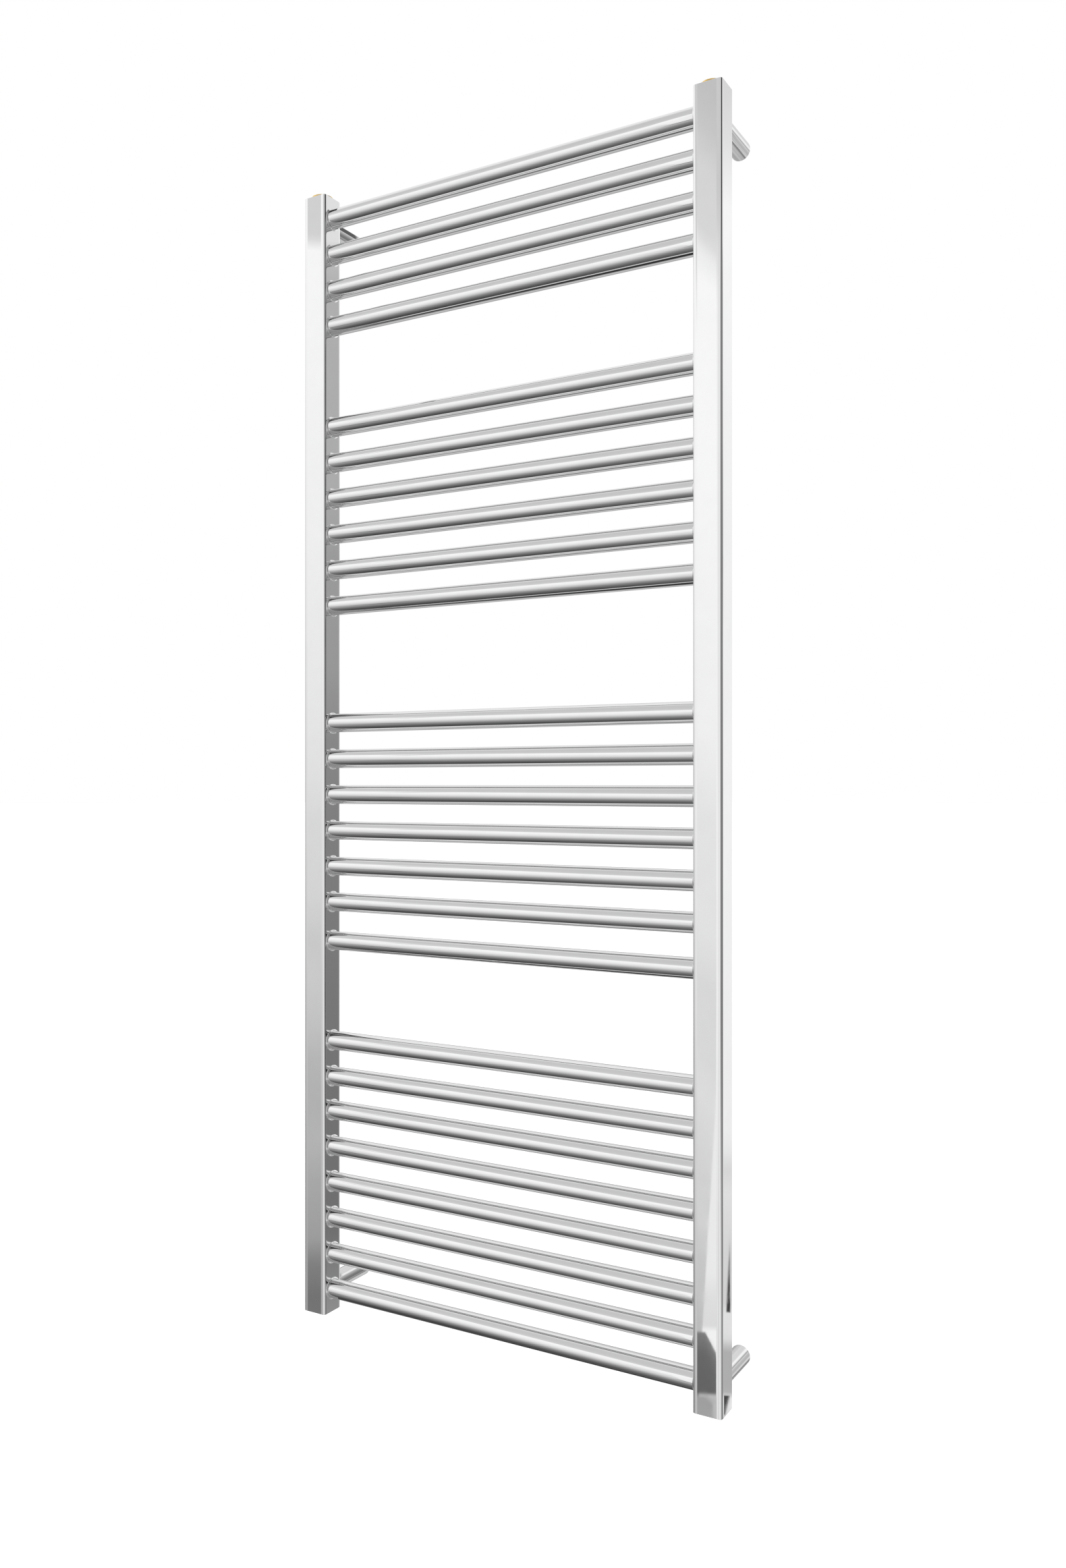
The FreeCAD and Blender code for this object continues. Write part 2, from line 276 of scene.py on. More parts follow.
def polygon_radius(flats, sides, corner=0.0):
    """The radius of a regular polygon's outline as a function of the angle."""
    half = math.pi / sides

    def radius(angle):
        folded = (angle + half) % (2 * half) - half
        reach = flats / 2 / math.cos(folded)
        if corner > 0:
            corner_reach = flats / 2 / math.cos(half) - corner
            reach = min(reach, corner_reach / math.cos(half - abs(folded)))
        return reach

    return radius


def thread_rows(z_from, z_to, root, crest, pitch, fade=1.0):
    """(height, radius function) rows of a screw thread between two heights."""
    steps = max(2, int(round(abs(z_to - z_from) / THREAD_STEP)))
    rows = []
    for k in range(steps + 1):
        z = z_from + (z_to - z_from) * k / steps
        near_end = min(abs(z - z_from), abs(z_to - z)) / pitch
        depth = min(1.0, near_end / fade)

        def radius(angle, z=z, depth=depth):
            phase = (z / pitch - angle / (2 * math.pi)) % 1.0
            wave = abs(2 * phase - 1)
            lift = min(1.0, max(0.0, (wave - THREAD_FLAT) / (1 - 2 * THREAD_FLAT)))
            return root + (crest - root) * lift * depth

        rows.append((z, radius))
    return rows


def cut(piece, cutter_parts, field=None):
    """Removes closed cutter shapes from a piece, exactly."""
    vertices, faces = joined(cutter_parts)
    cutter = new_piece("cutter", vertices, faces)
    modifier = piece.modifiers.new("cut", "BOOLEAN")
    modifier.operation = "DIFFERENCE"
    modifier.solver = "EXACT"
    modifier.object = cutter
    bpy.context.view_layer.update()
    graph = bpy.context.evaluated_depsgraph_get()
    mesh = bpy.data.meshes.new_from_object(piece.evaluated_get(graph))
    piece.modifiers.clear()
    old = piece.data
    mesh.name = old.name
    piece.data = mesh
    bpy.data.meshes.remove(old)
    bpy.data.objects.remove(cutter)
    smooth_normals(mesh, field)


def place(piece, body, slot_name, material, *nodes):
    """The piece takes a body, a material and the CAD nodes that it stands for; its slot name is
    not used.
    """
    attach(piece, body)
    piece.data.materials.clear()
    piece.data.materials.append(material)
    if nodes:
        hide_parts(*nodes)


# ---------------------------------------------------------------- materials

class Nodes:
    """Short names for building a node tree."""

    def __init__(self, tree):
        self.tree = tree

    def add(self, kind, inputs=None, **settings):
        node = self.tree.nodes.new(kind)
        for key, value in settings.items():
            setattr(node, key, value)
        for key, value in (inputs or {}).items():
            self.put(node, key, value)
        return node

    def put(self, node, key, value):
        if isinstance(value, bpy.types.NodeSocket):
            self.tree.links.new(value, node.inputs[key])
        else:
            node.inputs[key].default_value = value

    def math(self, operation, a, b=0.0, c=0.0):
        node = self.add("ShaderNodeMath", {0: a, 1: b, 2: c}, operation=operation)
        return node.outputs[0]

    def span(self, value, low, high, out_low=0.0, out_high=1.0, kind="LINEAR"):
        node = self.add("ShaderNodeMapRange",
                        {"Value": value, "From Min": low, "From Max": high,
                         "To Min": out_low, "To Max": out_high})
        node.interpolation_type = kind
        return node.outputs[0]

    def blend(self, fac, a, b):
        return self.add("ShaderNodeMix", {0: fac, 6: a, 7: b}, data_type="RGBA").outputs[2]

    def ramp(self, value, stops):
        node = self.add("ShaderNodeValToRGB", {0: value})
        elements = node.color_ramp.elements
        while len(elements) > 1:
            elements.remove(elements[0])
        elements[0].position = stops[0][0]
        elements[0].color = grey(stops[0][1])
        for position, level in stops[1:]:
            elements.new(position).color = grey(level)
        return node.outputs[0]


def grey(level):
    return (level, level, level, 1.0)


class Surface:
    """A new material whose tone, roughness and relief follow noises in the piece's space."""

    def __init__(self, name, metallic=0.0):
        self.material = bpy.data.materials.new(name)
        self.material.use_nodes = True
        self.nodes = Nodes(self.material.node_tree)
        self.shader = self.material.node_tree.nodes["Principled BSDF"]
        self.place_in = self.nodes.add("ShaderNodeTexCoord").outputs["Object"]
        self.shader.inputs["Metallic"].default_value = metallic

    def noise(self, scale, detail, roughness=0.5):
        node = self.nodes.add("ShaderNodeTexNoise", {"Vector": self.place_in, "Scale": scale,
                                                     "Detail": detail, "Roughness": roughness})
        return node.outputs[0]

    def tone(self, fac, first, second):
        mixed = self.nodes.blend(fac, (*first, 1.0), (*second, 1.0))
        self.nodes.put(self.shader, "Base Color", mixed)

    def roughness(self, noise, smooth, rough, low=0.3, high=0.7):
        value = self.nodes.span(noise, low, high, smooth, rough)
        self.nodes.put(self.shader, "Roughness", value)

    def relief(self, height, strength, distance):
        bump = self.nodes.add("ShaderNodeBump", {"Strength": strength, "Distance": distance,
                                                 "Height": height})
        self.nodes.put(self.shader, "Normal", bump.outputs[0])


def chrome_material():
    """Bright chrome plate: faint polishing haze, faint ripple of the steel under it."""
    surface = Surface("chrome_plate", metallic=1.0)
    haze = surface.noise(38.0, 4.0, 0.6)
    surface.roughness(haze, 0.008, 0.03, low=0.35)
    surface.tone(surface.nodes.span(haze, 0.3, 0.7),
                 (0.895, 0.895, 0.897), (0.915, 0.915, 0.916))
    surface.relief(surface.noise(14.0, 1.0), 0.03, 0.0004)
    return surface.material


def brass_material():
    """Polished brass, a little tarnished in clouds."""
    surface = Surface("polished_brass", metallic=1.0)
    tarnish = surface.noise(160.0, 6.0, 0.6)
    surface.tone(surface.nodes.span(tarnish, 0.35, 0.7),
                 (0.91, 0.66, 0.25), (0.80, 0.52, 0.17))
    surface.roughness(tarnish, 0.12, 0.26)
    surface.relief(surface.noise(2500.0, 2.0), 0.15, 0.00003)
    return surface.material


def zinc_material():
    """Zinc plate over turned steel: fine rings along the spigot and a cloudy bloom."""
    surface = Surface("zinc_plated_turned_steel", metallic=1.0)
    bloom = surface.noise(220.0, 5.0, 0.65)
    surface.tone(surface.nodes.span(bloom, 0.3, 0.7), (0.66, 0.68, 0.70), (0.50, 0.52, 0.56))
    surface.roughness(bloom, 0.26, 0.42)
    rings = surface.nodes.add("ShaderNodeTexWave", {"Vector": surface.place_in, "Scale": 900.0,
                                                    "Distortion": 0.4, "Detail": 1.0},
                              bands_direction="Y")
    surface.relief(rings.outputs["Fac"], 0.35, 0.00003)
    return surface.material


def dark_steel_material():
    """Blackened steel with a fine scale."""
    surface = Surface("dark_oxide_steel", metallic=1.0)
    scale = surface.noise(420.0, 5.0, 0.6)
    surface.tone(surface.nodes.span(scale, 0.3, 0.7), (0.055, 0.055, 0.06), (0.14, 0.135, 0.13))
    surface.roughness(scale, 0.35, 0.55)
    surface.relief(scale, 0.3, 0.00004)
    return surface.material


def rubber_material():
    """Black rubber with a fine moulded grain."""
    surface = Surface("black_seal_rubber")
    grain = surface.noise(1800.0, 4.0, 0.6)
    surface.tone(surface.nodes.span(grain, 0.3, 0.7),
                 (0.012, 0.012, 0.013), (0.035, 0.034, 0.033))
    surface.roughness(grain, 0.5, 0.72)
    surface.relief(grain, 0.4, 0.00003)
    return surface.material


def floor_material():
    """A pale matt floor that glows a little, so that it stays near white."""
    surface = Surface("pale_floor")
    surface.tone(surface.noise(0.8, 2.0), (0.93, 0.93, 0.93), (0.96, 0.96, 0.96))
    for key, value in (("Roughness", 0.9), ("Specular IOR Level", 0.0),
                       ("Emission Color", grey(1.0)), ("Emission Strength", 0.6)):
        surface.shader.inputs[key].default_value = value
    return surface.material


chrome = chrome_material()
brass = brass_material()
zinc = zinc_material()
dark_steel = dark_steel_material()
rubber = rubber_material()


# ---------------------------------------------------------------- collectors

def corner_outline(width, depth, reach, power, steps):
    """Outline of a box section, counter-clockwise, with soft corners.

    Each corner is a superellipse arc: it starts to turn reach before the corner, very
    gently, and turns most of the way close to the corner itself, as drawn tube does.
    """
    quarter = []
    for k in range(steps + 1):
        angle = math.pi / 2 * k / steps
        x = reach * (math.cos(angle) ** (2 / power) - 1) if k < steps else -reach
        y = reach * (math.sin(angle) ** (2 / power) - 1) if k > 0 else -reach
        quarter.append((x, y))
    points = []
    for x_sign, y_sign in ((1, 1), (-1, 1), (-1, -1), (1, -1)):
        turn = quarter if x_sign * y_sign > 0 else quarter[::-1]
        points += [(x_sign * (width / 2 + x), y_sign * (depth / 2 + y)) for x, y in turn]
    return points


def section_ring(outline, centre, z):
    return [Vector((centre.x + x, centre.y + y, z)) for x, y in outline]


def section_normal(centre, width, depth):
    """The exact outward normal of the soft-cornered section at a point on its skin."""

    def normal(co, face_normal):
        if abs(face_normal.z) > 0.1:
            return None
        x = co.x - centre.x
        y = co.y - centre.y
        u = max(0.0, (abs(x) - (width / 2 - CORNER_REACH)) / CORNER_REACH)
        v = max(0.0, (abs(y) - (depth / 2 - CORNER_REACH)) / CORNER_REACH)
        if max(u, v) < 0.8:
            return None
        gradient = Vector((math.copysign(u ** (CORNER_POWER - 1), x),
                           math.copysign(v ** (CORNER_POWER - 1), y), 0.0))
        gradient.normalize()
        return gradient if gradient.dot(face_normal) > 0.5 else None

    return normal


def collector(side_name):
    """An upright box section with a hole for each tube, split into one span a tube."""
    side = SIDES[side_name]
    low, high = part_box(side_name + "_collector")
    centre = (low + high) / 2
    width = high.x - low.x
    depth = high.y - low.y
    outer = corner_outline(width, depth, CORNER_REACH, CORNER_POWER, CORNER_STEPS)
    inset = corner_outline(width - 2 * END_BEVEL, depth - 2 * END_BEVEL,
                           CORNER_REACH, CORNER_POWER, CORNER_STEPS)
    inner = corner_outline(width - 2 * COLLECTOR_WALL, depth - 2 * COLLECTOR_WALL,
                           INNER_CORNER, 2.0, CORNER_STEPS)
    tube_count = sum(1 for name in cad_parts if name.startswith("tube_"))
    heights = []
    for number in range(1, tube_count + 1):
        tube_low, tube_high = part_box("tube_%02d" % number)
        heights.append((tube_low.z + tube_high.z) / 2)
    stops = [(a + b) / 2 for a, b in zip(heights, heights[1:])][::-1]
    rings = [section_ring(inset, centre, low.z),
             section_ring(outer, centre, low.z + END_BEVEL)]
    rings += [section_ring(outer, centre, z) for z in stops]
    rings += [section_ring(outer, centre, high.z - END_BEVEL),
              section_ring(inset, centre, high.z),
              section_ring(inner, centre, high.z),
              section_ring(inner, centre, low.z)]
    vertices, faces = loft(rings, closed=True)
    field = section_normal(centre, width, depth)
    piece = new_piece(side_name + "_collector_tube", vertices, faces, field)
    tube_low, tube_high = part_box("tube_01")
    hole = (tube_high.z - tube_low.z) / 2 + TUBE_HOLE_GAP
    face_x = side * (abs(centre.x) - width / 2)
    cutters = []
    for z in heights:
        start = Vector((face_x - side * 2 * MM, centre.y, z))
        cutters.append(turned(start, "x", [(0, hole), (side * (COLLECTOR_WALL + 3 * MM), hole)],
                              start="flat", end="flat"))
    cut(piece, cutters, field)
    place(piece, "radiator", "chrome", chrome, side_name + "_collector")


def end_cap(side_name, level_name):
    """The plate in a collector's end, with a fine seam round it and round the boss."""
    node = side_name + "_" + level_name + "_end_cap"
    low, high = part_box(node)
    centre = (low + high) / 2
    boss_low, boss_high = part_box(side_name + "_" + level_name + "_port_boss")
    hole = (boss_high.x - boss_low.x) / 2 + SEAM_GAP
    width = high.x - low.x
    depth = high.y - low.y
    rows = []
    for trim, z in ((SEAM_BEVEL, low.z), (0, low.z + SEAM_BEVEL),
                    (0, high.z - SEAM_BEVEL), (SEAM_BEVEL, high.z)):
        outline = corner_outline(width - 2 * trim, depth - 2 * trim, INNER_CORNER, 2.0,
                                 CAP_CORNER_STEPS)
        flat = []
        for k, (x, y) in enumerate(outline):
            flat.append((x, y))
            nx, ny = outline[(k + 1) % len(outline)]
            if math.hypot(nx - x, ny - y) > CAP_LONG_EDGE:
                flat += [(x + (nx - x) * t / CAP_EDGE_PARTS, y + (ny - y) * t / CAP_EDGE_PARTS)
                         for t in range(1, CAP_EDGE_PARTS)]
        rows.append((section_ring(flat, centre, z), z, trim))
    rings = [row[0] for row in rows]
    for points, z, trim in rows[::-1]:
        circle = []
        for p in points:
            out = Vector((p.x - centre.x, p.y - centre.y, 0)).normalized()
            circle.append(Vector((centre.x, centre.y, z)) + out * (hole + trim))
        rings.append(circle)
    vertices, faces = loft(rings, closed=True)
    piece = new_piece(node + "_plate", vertices, faces)
    place(piece, "radiator", "chrome", chrome, node)


def port_boss(side_name, level_name):
    """A round boss; the bottom one has its pipe thread cut in it."""
    node = side_name + "_" + level_name + "_port_boss"
    low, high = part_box(node)
    radius = (high.x - low.x) / 2
    centre = (low + high) / 2
    half = (high.z - low.z) / 2
    outside = [(-half, radius - SEAM_BEVEL), (-half + SEAM_BEVEL, radius),
               (half - SEAM_BEVEL, radius), (half, radius - SEAM_BEVEL)]
    if level_name == "top":
        inside = [(half, PLUGGED_BORE + SEAM_BEVEL), (half - SEAM_BEVEL, PLUGGED_BORE),
                  (-half + SEAM_BEVEL, PLUGGED_BORE), (-half, PLUGGED_BORE + SEAM_BEVEL)]
    else:
        inside = [(half, PORT_MINOR + SEAM_BEVEL), (half - SEAM_BEVEL, PORT_MINOR)]
        inside += thread_rows(half - 2 * SEAM_BEVEL, -half + PORT_LEAD_IN,
                              PORT_MINOR, PORT_MAJOR, PIPE_PITCH)
        inside += [(-half, PORT_MINOR + PORT_LEAD_IN)]
    vertices, faces = turned(centre, "z", outside + inside, closed=True)
    piece = new_piece(node + "_ring", vertices, faces)
    place(piece, "radiator", "chrome", chrome, node)


# ---------------------------------------------------------------- tubes and welds

def tubes():
    low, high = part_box("tube_01")
    half = (high.x - low.x) / 2
    radius = (high.z - low.z) / 2
    origin = Vector((0, 0, 0))
    profile = [(-half, radius), (half, radius),
               (half, radius - TUBE_WALL), (-half, radius - TUBE_WALL)]
    vertices, faces = turned(origin, "x", profile, TUBE_ROUND, closed=True)
    first = new_piece("cross_tube", vertices, faces)
    mesh = first.data
    bpy.data.objects.remove(first)
    names = sorted(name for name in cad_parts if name.startswith("tube_"))
    for name in names:
        low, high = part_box(name)
        piece = bpy.data.objects.new("cross_" + name, mesh)
        bpy.context.scene.collection.objects.link(piece)
        piece.location = (low + high) / 2
        place(piece, "radiator", "chrome", chrome, name)
    return names


def weld_beads(side_name, tube_names):
    """A thin polished fillet of weld round each tube, with a barely seen ripple."""
    side = SIDES[side_name]
    node = side_name + "_weld_beads"
    low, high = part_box(node)
    face_x = high.x if side > 0 else low.x
    height = high.x - low.x
    reach_out = (high.y - low.y) / 2
    parts = []
    for name in tube_names:
        tube_low, tube_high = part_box(name)
        centre = Vector((face_x, (tube_low.y + tube_high.y) / 2,
                         (tube_low.z + tube_high.z) / 2))
        foot = (tube_high.z - tube_low.z) / 2 + BEAD_GAP
        phase = random.uniform(0, 2 * math.pi)
        rings = [ring(centre, "x", 0, foot)]
        for k in range(BEAD_STEPS + 1):
            turn = math.pi / 2 * k / BEAD_STEPS
            full = 1 - BEAD_HOLLOW * (1 - abs(math.cos(2 * turn)))
            out = math.cos(turn) * full
            up = math.sin(turn) * full

            def radius(angle, out=out):
                fade = min(1.0, 4 * (1 - out))
                wave = math.sin(BEAD_RIPPLES * angle + phase) * BEAD_RIPPLE * fade
                return foot + (reach_out - foot) * out - BEAD_RIPPLE + wave

            rings.append(ring(centre, "x", -side * height * up, radius))
        rings[-1] = ring(centre, "x", -side * height, foot)
        parts.append(loft(rings, closed=True))
    vertices, faces = joined(parts)
    piece = new_piece(node + "_ring", vertices, faces)
    place(piece, "radiator", "chrome", chrome, node)


# ---------------------------------------------------------------- wall brackets

def bracket_sleeve(side_name, level_name):
    """The chromed post, with a cross hole for its grub screw."""
    corner = side_name + "_" + level_name
    low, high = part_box(corner + "_bracket_sleeve")
    radius = (high.x - low.x) / 2
    front = Vector(((low.x + high.x) / 2, low.y, (low.z + high.z) / 2))
    length = high.y - low.y
    profile = [(0, STUD_HOLE), (0, radius - SLEEVE_FRONT_CHAMFER),
               (0.25 * SLEEVE_FRONT_CHAMFER, radius - 0.35 * SLEEVE_FRONT_CHAMFER),
               (SLEEVE_FRONT_CHAMFER, radius), (length - SLEEVE_BACK_CHAMFER, radius),
               (length, radius - SLEEVE_BACK_CHAMFER), (length, SLEEVE_BORE + BORE_CHAMFER),
               (length - BORE_CHAMFER, SLEEVE_BORE), (SLEEVE_END_WALL, SLEEVE_BORE),
               (SLEEVE_END_WALL, STUD_HOLE)]
    vertices, faces = turned(front, "y", profile, closed=True)
    sleeve = new_piece(corner + "_sleeve", vertices, faces)
    grub_low, grub_high = grub_box(side_name, level_name)
    grub_y = (grub_low.y + grub_high.y) / 2
    out = LEVELS[level_name]
    hole = turned(Vector((front.x, grub_y, front.z)), "z",
                  [(out * 2 * MM, GRUB_HOLE), (out * (radius + 1 * MM), GRUB_HOLE)],
                  SMALL_ROUND, start="flat", end="flat")
    cut(sleeve, [hole])
    place(sleeve, "radiator", "chrome", chrome, corner + "_bracket_sleeve")


def bracket_stud(corner):
    """The stud's flange shows as a dark neck between collector and post."""
    low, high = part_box(corner + "_bracket_stud")
    flange = (high.x - low.x) / 2
    back = Vector(((low.x + high.x) / 2, low.y, (low.z + high.z) / 2))
    length = high.y - low.y
    profile = [(0, flange), (STUD_FLANGE - 0.2 * MM, flange),
               (STUD_FLANGE, flange - 0.2 * MM), (STUD_FLANGE, STUD_RADIUS)]
    profile += thread_rows(STUD_FLANGE + 0.1 * MM, length - 0.6 * MM,
                           STUD_RADIUS - 0.6 * MM, STUD_RADIUS, STUD_PITCH)
    profile += [(length, STUD_RADIUS - 0.9 * MM)]
    vertices, faces = turned(back, "y", profile, SMALL_ROUND, start="flat", end="flat")
    stud = new_piece(corner + "_stud", vertices, faces)
    place(stud, "radiator", "dark_neck", dark_steel, corner + "_bracket_stud")


def wall_foot(corner):
    """The spigot on the wall that the post slides on, bored for a screw and its head."""
    low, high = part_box(corner + "_wall_foot")
    radius = (high.x - low.x) / 2
    wall = Vector(((low.x + high.x) / 2, high.y, (low.z + high.z) / 2))
    length = high.y - low.y
    profile = [(0, FOOT_SCREW_HOLE), (0, radius - 0.2 * MM), (-0.2 * MM, radius),
               (-length + FOOT_CHAMFER, radius), (-length, radius - FOOT_CHAMFER),
               (-length, FOOT_HEAD_BORE + BORE_CHAMFER),
               (-length + BORE_CHAMFER, FOOT_HEAD_BORE),
               (-FOOT_BASE, FOOT_HEAD_BORE), (-FOOT_BASE, FOOT_SCREW_HOLE)]
    vertices, faces = turned(wall, "y", profile, closed=True)
    foot = new_piece(corner + "_spigot", vertices, faces)
    place(foot, "wall_feet", "zinc_plated_steel", zinc, corner + "_wall_foot")


def grub_box(side_name, level_name):
    """The corner of the grub screws' node that lies in one sleeve."""
    sleeve_low, sleeve_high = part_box(side_name + "_" + level_name + "_bracket_sleeve")
    points = [v.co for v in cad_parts["grub_screws"].data.vertices
              if sleeve_low.x < v.co.x < sleeve_high.x and sleeve_low.z < v.co.z < sleeve_high.z]
    low = Vector([min(p[i] for p in points) for i in range(3)])
    high = Vector([max(p[i] for p in points) for i in range(3)])
    return low, high


def grub_screws():
    """Socket set screws: each faces up out of an upper sleeve or down out of a lower one."""
    parts = []
    for side_name in SIDES:
        for level_name, out in LEVELS.items():
            low, high = grub_box(side_name, level_name)
            radius = (high.x - low.x) / 2
            length = high.z - low.z
            face = Vector(((low.x + high.x) / 2, (low.y + high.y) / 2,
                           high.z if out > 0 else low.z))
            socket = polygon_radius(GRUB_SOCKET_FLATS, 6)
            profile = [(GRUB_SOCKET_DEPTH, socket), (0.1 * MM, socket), (0, 1.55 * MM),
                       (0, radius - 0.45 * MM), (0.3 * MM, radius - 0.1 * MM)]
            profile += thread_rows(0.35 * MM, length - 0.7 * MM, radius - 0.4 * MM,
                                   radius, GRUB_PITCH, 0.5)
            profile += [(length - 0.4 * MM, radius - 0.7 * MM), (length, radius - 1.1 * MM)]
            profile = [(-out * depth, reach) for depth, reach in profile]
            socket_tip = face - Vector((0, 0, out * (GRUB_SOCKET_DEPTH + 0.4 * MM)))
            cone_end = face - Vector((0, 0, out * (length - 0.3 * MM)))
            parts.append(turned(face, "z", profile, SMALL_ROUND,
                                start=tuple(socket_tip), end=tuple(cone_end)))
    vertices, faces = joined(parts)
    piece = new_piece("sleeve_grub_screws", vertices, faces)
    place(piece, "radiator", "dark_neck", dark_steel, "grub_screws")


# ---------------------------------------------------------------- brass fittings

def fitting_outside(radius, shank):
    """Outside of a flanged fitting, from its tip up to the rim of its top face."""
    rows = [(-shank, SHANK_ROOT - 0.4 * MM), (-shank + SHANK_TIP, SHANK_ROOT + 0.2 * MM)]
    rows += thread_rows(-shank + SHANK_TIP + 0.05 * MM, -1.2 * MM, SHANK_ROOT,
                        SHANK_RADIUS, PIPE_PITCH)
    rows += [(-1.0 * MM, SHANK_ROOT), (-0.2 * MM, SHANK_ROOT), (0, SHANK_ROOT + 0.2 * MM),
             (0, GROOVE_IN), (GROOVE_DEPTH, GROOVE_IN), (GROOVE_DEPTH, GROOVE_OUT),
             (0, GROOVE_OUT), (0, radius - 0.2 * MM), (0.2 * MM, radius),
             (FLANGE_HEIGHT - FLANGE_CHAMFER, radius),
             (FLANGE_HEIGHT, radius - FLANGE_CHAMFER)]
    return rows


def fitting_seat(node):
    """The middle of a fitting where its flange sits, its flange radius and shank length."""
    low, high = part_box(node)
    seat = Vector(((low.x + high.x) / 2, (low.y + high.y) / 2, high.z - FLANGE_HEIGHT))
    return seat, (high.x - low.x) / 2, high.z - FLANGE_HEIGHT - low.z


def blanking_plug():
    seat, radius, shank = fitting_seat("blanking_plug")
    socket = polygon_radius(PLUG_SOCKET_FLATS, 6)
    mouth = polygon_radius(PLUG_SOCKET_FLATS + 0.8 * MM, 6)
    floor_z = FLANGE_HEIGHT - PLUG_SOCKET_DEPTH
    rows = fitting_outside(radius, shank)
    rows += [(FLANGE_HEIGHT, mouth), (FLANGE_HEIGHT - 0.4 * MM, socket), (floor_z, socket)]
    tip = seat + Vector((0, 0, floor_z - 1.2 * MM))
    vertices, faces = turned(seat, "z", rows, start="flat", end=tuple(tip))
    piece = new_piece("brass_blanking_plug", vertices, faces)
    place(piece, "radiator", "brass", brass, "blanking_plug")


def vent_body():
    seat, radius, shank = fitting_seat("vent_body")
    recess_z = FLANGE_HEIGHT - VENT_RECESS_DEPTH
    rows = fitting_outside(radius, shank)
    rows += [(FLANGE_HEIGHT, VENT_RECESS + 0.4 * MM),
             (FLANGE_HEIGHT - 0.4 * MM, VENT_RECESS), (recess_z, VENT_RECESS),
             (recess_z, VENT_BORE + 0.2 * MM), (recess_z - 0.2 * MM, VENT_BORE),
             (-VENT_SEAT_DEPTH, VENT_BORE), (-VENT_SEAT_DEPTH, VENT_INLET),
             (-shank, VENT_INLET)]
    vertices, faces = turned(seat, "z", rows, closed=True)
    piece = new_piece("brass_vent_body", vertices, faces)
    outlet_top = seat + Vector((0, -VENT_OUTLET_OFFSET, recess_z))
    outlet_end = seat + Vector((0, -VENT_BORE + VENT_OUTLET, -VENT_SEAT_DEPTH + 1.2 * MM))
    drill_start = outlet_top - (outlet_end - outlet_top) * 0.1
    drill = loft([ring(end, "z", 0, VENT_OUTLET, DRILL_ROUND)
                  for end in (drill_start, outlet_end)], start="flat", end="flat")
    cut(piece, [drill])
    place(piece, "radiator", "brass", brass, "vent_body")


def vent_screw():
    low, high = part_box("vent_screw")
    middle = Vector(((low.x + high.x) / 2, (low.y + high.y) / 2, high.z))
    bottom = low.z - high.z
    base = -VENT_KEY_HEIGHT
    radius = VENT_BORE - 0.05 * MM
    rows = [(bottom, radius - 0.6 * MM)]
    rows += thread_rows(bottom + 0.3 * MM, base - 0.8 * MM, radius - 0.45 * MM, radius,
                        SCREW_PITCH)
    rows += [(base - 0.7 * MM, radius - 0.5 * MM), (base, radius - 0.5 * MM)]
    key = polygon_radius(VENT_KEY, 4, VENT_KEY_ROUND)
    small = polygon_radius(VENT_KEY - 2 * VENT_KEY_CHAMFER, 4, VENT_KEY_ROUND)
    rows += [(base, polygon_radius(VENT_KEY - 0.3 * MM, 4, VENT_KEY_ROUND)),
             (base + 0.15 * MM, key), (-VENT_KEY_CHAMFER, key), (0, small)]
    vertices, faces = turned(middle, "z", rows, SMALL_ROUND, start="flat", end="flat")
    piece = new_piece("brass_bleed_screw", vertices, faces)
    place(piece, "bleed_screw", "brass", brass, "vent_screw")


def vent_seal():
    low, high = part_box("vent_seal")
    middle = (low + high) / 2
    half = (high.z - low.z) / 2
    radius = (high.x - low.x) / 2
    rows = [(-half, radius - SEAL_EDGE)]
    rows += [(-half + SEAL_EDGE * (1 - math.cos(t)), radius - SEAL_EDGE * (1 - math.sin(t)))
             for t in (math.pi / 8, math.pi / 4, 3 * math.pi / 8, math.pi / 2)]
    rows += [(-z, r) for z, r in rows[::-1]]
    vertices, faces = turned(middle, "z", rows, SMALL_ROUND, start="flat", end="flat")
    piece = new_piece("bleed_seal_disc", vertices, faces)
    place(piece, "bleed_seal", "seal_rubber", rubber, "vent_seal")


def o_ring(node):
    """A moulded ring with its faint parting line."""
    low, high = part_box(node)
    middle = (low + high) / 2
    section = (high.z - low.z) / 2
    ring_radius = (high.x - low.x) / 2 - section
    rows = []
    for k in range(O_RING_STEPS):
        angle = 2 * math.pi * k / O_RING_STEPS
        swell = section if k % (O_RING_STEPS // 2) == 0 else section * O_RING_BODY
        rows.append((swell * math.sin(angle), ring_radius + swell * math.cos(angle)))
    vertices, faces = turned(middle, "z", rows, closed=True)
    piece = new_piece(node + "_moulded", vertices, faces)
    place(piece, "radiator", "seal_rubber", rubber, node)


# ---------------------------------------------------------------- build

tube_names = tubes()
for side_name in SIDES:
    collector(side_name)
    weld_beads(side_name, tube_names)
    for level_name in LEVELS:
        end_cap(side_name, level_name)
        port_boss(side_name, level_name)
        bracket_sleeve(side_name, level_name)
        bracket_stud(side_name + "_" + level_name)
        wall_foot(side_name + "_" + level_name)
grub_screws()
blanking_plug()
vent_body()
vent_screw()
vent_seal()
o_ring("blanking_plug_o_ring")
o_ring("vent_o_ring")


# ---------------------------------------------------------------- floor, light, camera

def direction(azimuth, elevation):
    """A unit vector; azimuth 0 is straight out from the wall and 90 is to the right."""
    a = math.radians(azimuth)
    e = math.radians(elevation)
    return Vector((math.sin(a) * math.cos(e), -math.cos(a) * math.cos(e), math.sin(e)))


